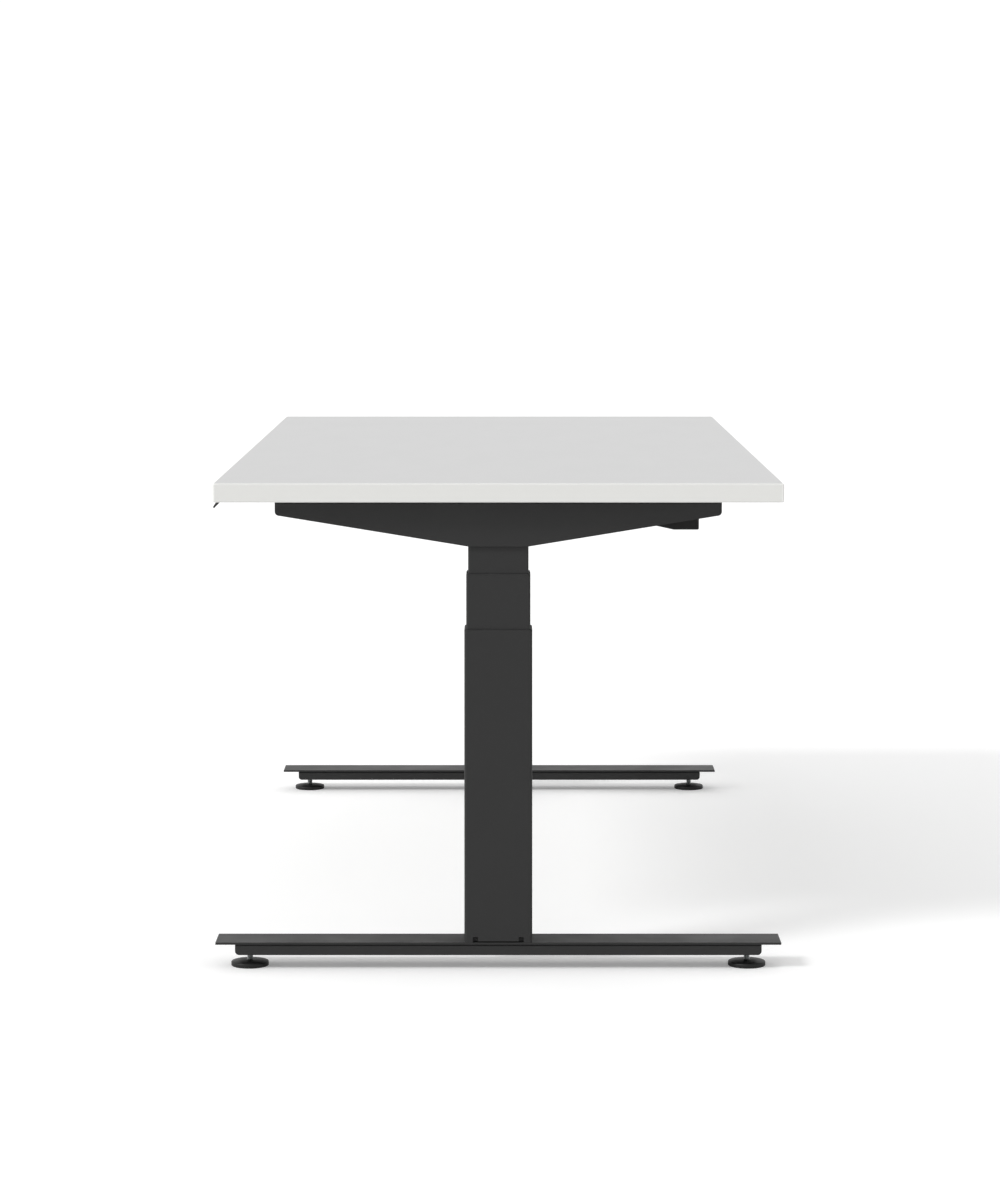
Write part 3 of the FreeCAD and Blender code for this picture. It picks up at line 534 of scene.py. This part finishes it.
def lobed_screw(mesh, centre, seat, tip, shank_radius, head_radius, head_height):
    """Adds an upright pan-head screw: its head hangs under seat, with a star-shaped recess from below."""
    face = seat - head_height
    star = head_radius * STAR_SHARE

    def loop(radius, z, lobe=0.0):
        points = []
        for i in range(HEAD_POINTS):
            angle = 2 * math.pi * i / HEAD_POINTS
            r = radius * (1.0 + lobe * math.cos(LOBES * angle))
            points.append((centre[0] + r * math.cos(angle), centre[1] + r * math.sin(angle), z))
        return ring_of(mesh, points)

    rings = [loop(star * across, face + up * head_height, lobe) for across, up, lobe in RECESS]
    rings += [loop(head_radius * across, face + up * head_height) for across, up in DOME]
    rings += [
        loop(head_radius, seat),
        loop(shank_radius, seat),
        loop(shank_radius, tip - POINT_LENGTH * shank_radius),
        loop(shank_radius * POINT_END, tip),
    ]
    skin_rings(mesh, rings)


def islands(node):
    """The lowest and the highest corner of each separate solid of a CAD node."""
    mesh = bmesh.new()
    mesh.from_mesh(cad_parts[node].data)
    bmesh.ops.remove_doubles(mesh, verts=mesh.verts, dist=0.005 * MM)
    left = set(mesh.verts)
    found = []
    while left:
        waiting = [left.pop()]
        solid = list(waiting)
        while waiting:
            for edge in waiting.pop().link_edges:
                for vert in edge.verts:
                    if vert in left:
                        left.discard(vert)
                        waiting.append(vert)
                        solid.append(vert)
        low = Vector([min(v.co[k] for v in solid) for k in range(3)])
        high = Vector([max(v.co[k] for v in solid) for k in range(3)])
        found.append((low, high))
    mesh.free()
    return sorted(found, key=lambda pair: tuple(round(c, 5) for c in pair[0]))


def lobed_screws(node, head_height, shank_radius):
    """Replaces a node of plain screws with lobed ones of the same sizes and places."""
    mesh = bmesh.new()
    for low, high in islands(node):
        centre = ((low.x + high.x) / 2, (low.y + high.y) / 2)
        head_radius = (high.x - low.x) / 2
        seat = low.z + head_height
        lobed_screw(mesh, centre, seat, high.z, shank_radius, head_radius, head_height)
    screws = new_piece(f"lobed_{node}", mesh, black_oxide, "desktop")
    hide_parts(node)


lobed_screws("worktop_screws", head_height=2.5 * MM, shank_radius=2.2 * MM)

# ---- Worktop board -------------------------------------------------------------------------------
# Pressed particle board, faced above and below with melamine-soaked paper under heat.
# The top is a light grey-white with a fine pearl texture; the backer below is a little duller.
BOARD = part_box("worktop_board")


def melamine_laminate(name, face, backer, drifted, roughness):
    """Melamine laminate: hard and even, with a pearl texture of about 0.9 mm and faint wiped streaks."""
    made, tree = start_material(name)
    coordinates = add(tree, "ShaderNodeTexCoord")
    place = coordinates.outputs["Object"]
    pearl = add(tree, "ShaderNodeTexNoise", {"Scale": per_mm(0.9), "Detail": 2.0}, {"Vector": place})
    cloud = add(tree, "ShaderNodeTexNoise", {"Scale": per_mm(240.0), "Detail": 3.0}, {"Vector": place})
    wiped = add(
        tree,
        "ShaderNodeMapping",
        {"Scale": (0.25, 1.0, 1.0), "Rotation": (0, 0, 0.3)},
        {"Vector": place},
    )
    streak = add(
        tree,
        "ShaderNodeTexNoise",
        {"Scale": per_mm(45.0), "Detail": 6.0},
        {"Vector": wiped.outputs["Vector"]},
    )
    up = add(tree, "ShaderNodeSeparateXYZ", {}, {"Vector": coordinates.outputs["Normal"]})
    above = add(
        tree,
        "ShaderNodeMapRange",
        {"From Min": -0.5, "From Max": 0.5},
        {"Value": up.outputs["Z"]},
    )
    side_tint = add(
        tree,
        "ShaderNodeMix",
        {"data_type": "RGBA", 6: colour(backer), 7: colour(face)},
        {0: above.outputs["Result"]},
    )
    drift = add(
        tree,
        "ShaderNodeMapRange",
        {"From Min": 0.3, "From Max": 0.7, "To Max": 0.02},
        {"Value": cloud.outputs["Fac"]},
    )
    tint = add(
        tree,
        "ShaderNodeMix",
        {"data_type": "RGBA", 7: colour(drifted)},
        {0: drift.outputs["Result"], 6: side_tint.outputs[2]},
    )
    sheen = add(
        tree,
        "ShaderNodeMapRange",
        {"From Min": 0.3, "From Max": 0.7, "To Min": roughness - 0.015, "To Max": roughness + 0.02},
        {"Value": streak.outputs["Fac"]},
    )
    relief = add(
        tree,
        "ShaderNodeBump",
        {"Strength": 0.15, "Distance": 0.03 * MM},
        {"Height": pearl.outputs["Fac"]},
    )
    shader = add(
        tree,
        "ShaderNodeBsdfPrincipled",
        {"IOR": 1.5},
        {
            "Base Color": tint.outputs[2],
            "Roughness": sheen.outputs["Result"],
            "Normal": relief.outputs["Normal"],
        },
    )
    add(tree, "ShaderNodeOutputMaterial", {}, {"Surface": shader.outputs["BSDF"]})
    return made


white_laminate = melamine_laminate("melamine_laminate", "#C8C8C8", "#C2C1BE", "#BEBBB5", 0.42)
dress(["worktop_board"], white_laminate)

# ---- Edge band -----------------------------------------------------------------------------------
# Four strips of 2 mm ABS, glued on hot, trimmed flush and rounded over with a scraper.
# A touch brighter and smoother than the laminate, with a hair-thin glue line where they meet, and a painted
# highlight along the rounded arris.
GLUE_LINE = 0.35 * MM


def abs_edge_band(name, base, arris_highlight_colour, glue, roughness):
    """ABS edge band: satin, with long scraper marks, a painted arris highlight and the glue line drawn a
    little wider than life.
    """
    made, tree = start_material(name)
    place = add(tree, "ShaderNodeTexCoord").outputs["Object"]
    chatter = add(tree, "ShaderNodeTexNoise", {"Scale": per_mm(1.4), "Detail": 2.0}, {"Vector": place})
    cloud = add(tree, "ShaderNodeTexNoise", {"Scale": per_mm(90.0), "Detail": 3.0}, {"Vector": place})
    where = add(tree, "ShaderNodeSeparateXYZ", {}, {"Vector": place})
    reach = []
    for axis, half in (("X", BOARD[1][0]), ("Y", BOARD[1][1])):
        size = add(tree, "ShaderNodeMath", {"operation": "ABSOLUTE"}, {0: where.outputs[axis]})
        past = add(tree, "ShaderNodeMath", {"operation": "SUBTRACT", 1: half}, {0: size.outputs["Value"]})
        reach.append(past.outputs["Value"])
    beyond = add(
        tree,
        "ShaderNodeMath",
        {"operation": "MAXIMUM"},
        {0: reach[0], 1: reach[1]},
    )
    seam = add(
        tree,
        "ShaderNodeMapRange",
        {"From Min": GLUE_LINE, "From Max": 0.0, "To Max": 0.5},
        {"Value": beyond.outputs["Value"]},
    )
    glued = add(
        tree,
        "ShaderNodeMix",
        {"data_type": "RGBA", 6: colour(base), 7: colour(glue)},
        {0: seam.outputs["Result"]},
    )
    rounded = add(tree, "ShaderNodeBevel", {"samples": 6, "Radius": 2.2 * MM})
    facet = add(tree, "ShaderNodeNewGeometry")
    alike = add(
        tree,
        "ShaderNodeVectorMath",
        {"operation": "DOT_PRODUCT"},
        {0: rounded.outputs["Normal"], 1: facet.outputs["True Normal"]},
    )
    # Painted highlight: the rounded arris, found by the bevel normal, is tinted paler as if it caught the
    # light.
    painted_arris_highlight = add(
        tree,
        "ShaderNodeMapRange",
        {"From Min": 0.985, "From Max": 0.90},
        {"Value": alike.outputs["Value"]},
    )
    tint = add(
        tree,
        "ShaderNodeMix",
        {"data_type": "RGBA", 7: colour(arris_highlight_colour)},
        {0: painted_arris_highlight.outputs["Result"], 6: glued.outputs[2]},
    )
    sheen = add(
        tree,
        "ShaderNodeMapRange",
        {"From Min": 0.3, "From Max": 0.7, "To Min": roughness - 0.04, "To Max": roughness + 0.06},
        {"Value": cloud.outputs["Fac"]},
    )
    relief = add(
        tree,
        "ShaderNodeBump",
        {"Strength": 0.12, "Distance": 0.02 * MM},
        {"Height": chatter.outputs["Fac"]},
    )
    shader = add(
        tree,
        "ShaderNodeBsdfPrincipled",
        {"IOR": 1.52},
        {
            "Base Color": tint.outputs[2],
            "Roughness": sheen.outputs["Result"],
            "Normal": relief.outputs["Normal"],
        },
    )
    add(tree, "ShaderNodeOutputMaterial", {}, {"Surface": shader.outputs["BSDF"]})
    return made


# The second colour is the painted highlight on the arris; the third is the glue line.
edge_band = abs_edge_band("abs_edge_band", "#E2E2DF", "#F6F6F4", "#9C9A94", 0.36)
dress(["worktop_edge_band"], edge_band)

# ---- Control box ---------------------------------------------------------------------------------
# A wedge-bottomed housing under a flat lid that screws to the board, with a row of sockets.
# Flame-retardant ABS from an etched mould: black, dry and evenly sandy.
box_plastic = moulded_plastic("moulded_black_abs", "#090909", "#101010", 0.6, 0.6)
dress(["control_box_housing", "control_box_lid"], box_plastic)
socket_plastic = moulded_plastic("glossy_black_nylon", "#101011", "#161617", 0.3, 1.5)
dress(["control_box_sockets"], socket_plastic)
lobed_screws("small_screws", head_height=2.0 * MM, shank_radius=1.8 * MM)

# ---- Socket contacts -----------------------------------------------------------------------------
# Three flat blades in the mains inlet and six round pins in each of the small sockets.
# Brass with a bright tin plate, pressed through the floor of each socket, with rounded ends.
SOCKET_FLOOR = 11.0 * MM
CONTACT_REACH = 7.5 * MM
CONTACT_POINTS = 24
# A contact from its root to its end: shares of its reach and of its thickness.
CONTACT_TAPER = ((0.0, 1.0), (0.86, 1.0), (0.95, 0.86), (1.0, 0.5))
BLADE = (5.5 * MM, 1.8 * MM)
BLADE_PLACES = ((-7.0 * MM, -2.0 * MM), (0.0, 2.5 * MM), (7.0 * MM, -2.0 * MM))
PIN = (1.2 * MM, 1.2 * MM)
PIN_PLACES = [(column * 3.0 * MM, row * 3.4 * MM) for column in (-1, 0, 1) for row in (-0.5, 0.5)]
# The lower this is, the squarer the bar.
SQUARE = 0.35
ROUND = 1.0
INLET_WIDTH = 20.0 * MM


def contact(mesh, root, size, squareness):
    """Adds one contact along -X from root: an oval or nearly square bar, narrowing to a rounded end."""
    rings = []
    for reach, share in CONTACT_TAPER:
        points = []
        for i in range(CONTACT_POINTS):
            angle = 2 * math.pi * i / CONTACT_POINTS
            y = math.copysign(abs(math.cos(angle)) ** squareness, math.cos(angle)) * size[0] / 2
            z = math.copysign(abs(math.sin(angle)) ** squareness, math.sin(angle)) * size[1] / 2
            points.append(root + Vector((-reach * CONTACT_REACH, y * share, z * share)))
        rings.append(ring_of(mesh, points))
    skin_rings(mesh, rings)


mesh = bmesh.new()
for low, high in islands("control_box_sockets"):
    root = Vector((low.x + SOCKET_FLOOR, (low.y + high.y) / 2, (low.z + high.z) / 2))
    if high.y - low.y > INLET_WIDTH:
        for y, z in BLADE_PLACES:
            contact(mesh, root + Vector((0, y, z)), BLADE, SQUARE)
    else:
        for y, z in PIN_PLACES:
            contact(mesh, root + Vector((0, y, z)), PIN, ROUND)
tin_plate = bright_plate("tin_plated_brass", "#CFCBBE", "#BDB59B", 0.28)
new_piece("socket_contacts", mesh, tin_plate, "desktop")

# ---- Circuit board -------------------------------------------------------------------------------
# The board under the lid with its transformer, heat sink and capacitor.
# Glass-epoxy laminate under green solder mask, its copper tracks just showing.


def solder_mask(name, base, track):
    """Green solder mask: glossy, with slightly paler lines where copper runs under it."""
    made, tree = start_material(name)
    place = add(tree, "ShaderNodeTexCoord").outputs["Object"]
    cells = add(
        tree,
        "ShaderNodeTexBrick",
        {
            "Scale": per_mm(9.0),
            "Mortar Size": 0.03,
            "Color1": colour(base),
            "Color2": colour(base),
            "Mortar": colour(track),
        },
        {"Vector": place},
    )
    shader = add(
        tree,
        "ShaderNodeBsdfPrincipled",
        {"IOR": 1.55, "Roughness": 0.25},
        {"Base Color": cells.outputs["Color"]},
    )
    add(tree, "ShaderNodeOutputMaterial", {}, {"Surface": shader.outputs["BSDF"]})
    return made


dress(["control_circuit_board"], solder_mask("solder_mask_on_glass_epoxy", "#14402A", "#2C6B45"))

# ---- Handset -------------------------------------------------------------------------------------
# A slim tray under the front edge with a bent paddle: lift or press it and the desk moves.
# Charcoal ABS from an etched mould, with paler patches where hands have rubbed it.
handset_plastic = moulded_plastic("moulded_charcoal_abs", "#232323", "#2E2E2E", 0.5, 0.6)
dress(["handset_housing", "handset_paddle"], handset_plastic)
dress(["handset_pivot_pin"], zinc_steel)

# ---- Studio --------------------------------------------------------------------------------------
# A plain white floor in a white room whose walls glow, brightest overhead and behind the desk. The key
# light is high on the left towards the camera, and two wide lights fill in from the front and low left.


def studio_floor(name, paint, lift):
    """Matt white floor paint. It is lifted a little for the camera, as an over-exposed white sweep is."""
    made, tree = start_material(name)
    place = add(tree, "ShaderNodeTexCoord").outputs["Object"]
    roller = add(tree, "ShaderNodeTexNoise", {"Scale": per_mm(4.0), "Detail": 2.0}, {"Vector": place})
    relief = add(
        tree,
        "ShaderNodeBump",
        {"Strength": 0.05, "Distance": 0.05 * MM},
        {"Height": roller.outputs["Fac"]},
    )
    matt = add(
        tree,
        "ShaderNodeBsdfDiffuse",
        {"Color": colour(paint)},
        {"Normal": relief.outputs["Normal"]},
    )
    glow = add(tree, "ShaderNodeEmission", {"Color": (1, 1, 1, 1), "Strength": lift})
    lifted = add(tree, "ShaderNodeAddShader", {}, {0: matt.outputs["BSDF"], 1: glow.outputs["Emission"]})
    seen = add(tree, "ShaderNodeLightPath")
    both = add(
        tree,
        "ShaderNodeMixShader",
        {},
        {0: seen.outputs["Is Camera Ray"], 1: matt.outputs["BSDF"], 2: lifted.outputs["Shader"]},
    )
    add(tree, "ShaderNodeOutputMaterial", {}, {"Surface": both.outputs["Shader"]})
    return made


FLOOR_REACH = 60.0
FLOOR_LIFT = 0.20
mesh = bmesh.new()
bmesh.ops.create_grid(mesh, x_segments=1, y_segments=1, size=FLOOR_REACH)
floor_data = bpy.data.meshes.new("studio_floor")
mesh.to_mesh(floor_data)
mesh.free()
floor_data.materials.append(studio_floor("matt_white_floor", "#F0F0F0", FLOOR_LIFT))
floor = bpy.data.objects.new("studio_floor", floor_data)
bpy.context.scene.collection.objects.link(floor)

# A wall's glow starts where a ray turns 17 degrees towards it, and is full where it turns 64 degrees.
WALL_START = 0.3
WALL_FULL = 0.9
# Axis, direction and strength of each wall that glows.
SOFT_WALLS = (
    ("Z", 1, 0.74),
    ("X", -1, 0.81),
    ("Y", -1, 0.72),
    ("Y", 1, 0.54),
)
world = bpy.data.worlds.new("white_studio")
bpy.context.scene.world = world
world.use_nodes = True
room = world.node_tree
room.nodes.clear()
sight = add(room, "ShaderNodeTexCoord").outputs["Generated"]
toward = add(room, "ShaderNodeSeparateXYZ", {}, {"Vector": sight})
glow = None
for axis, sign, strength in SOFT_WALLS:
    wall = add(
        room,
        "ShaderNodeMapRange",
        {"From Min": sign * WALL_START, "From Max": sign * WALL_FULL, "To Max": strength},
        {"Value": toward.outputs[axis]},
    ).outputs["Result"]
    if glow:
        wall = add(room, "ShaderNodeMath", {"operation": "ADD"}, {0: glow, 1: wall}).outputs["Value"]
    glow = wall
soft = add(room, "ShaderNodeBackground", {"Color": (1, 1, 1, 1)}, {"Strength": glow})
paper = add(room, "ShaderNodeBackground", {"Color": (1, 1, 1, 1), "Strength": 1.05})
seen = add(room, "ShaderNodeLightPath")
both = add(
    room,
    "ShaderNodeMixShader",
    {},
    {0: seen.outputs["Is Camera Ray"], 1: soft.outputs["Background"], 2: paper.outputs["Background"]},
)
add(room, "ShaderNodeOutputWorld", {}, {"Surface": both.outputs["Shader"]})


def studio_sun(name, source, energy, spread):
    """A far soft light that shines from the direction of source, as wide as spread degrees."""
    data = bpy.data.lights.new(name, "SUN")
    data.energy = energy
    data.angle = math.radians(spread)
    lamp = bpy.data.objects.new(name, data)
    lamp.rotation_euler = Vector(source).to_track_quat("Z", "Y").to_euler()
    bpy.context.scene.collection.objects.link(lamp)


studio_sun("key_light", source=(0.45, -0.68, 0.646), energy=1.32, spread=14)
studio_sun("front_light", source=(1.0, 0.0, 0.5), energy=0.38, spread=50)
studio_sun("low_left_light", source=(0.3, -1.0, 0.3), energy=0.27, spread=40)

# A long lens looks along the desk from beyond one end, a little above the worktop and tilted down.
CAMERA_AT = Vector((5.4586, 0.0052, 0.9923))
CAMERA_PITCH = math.radians(2.0)
camera_data = bpy.data.cameras.new("camera")
camera_data.sensor_width = 36.0
camera_data.lens = 108.685
camera_data.shift_x = -0.0019
camera_data.shift_y = -0.2079
camera_data.clip_end = 200.0
camera = bpy.data.objects.new("camera", camera_data)
camera.location = CAMERA_AT
camera.rotation_euler = (math.pi / 2 - CAMERA_PITCH, 0.0, math.pi / 2)
bpy.context.scene.collection.objects.link(camera)
bpy.context.scene.camera = camera
bpy.context.scene.view_settings.view_transform = "Standard"
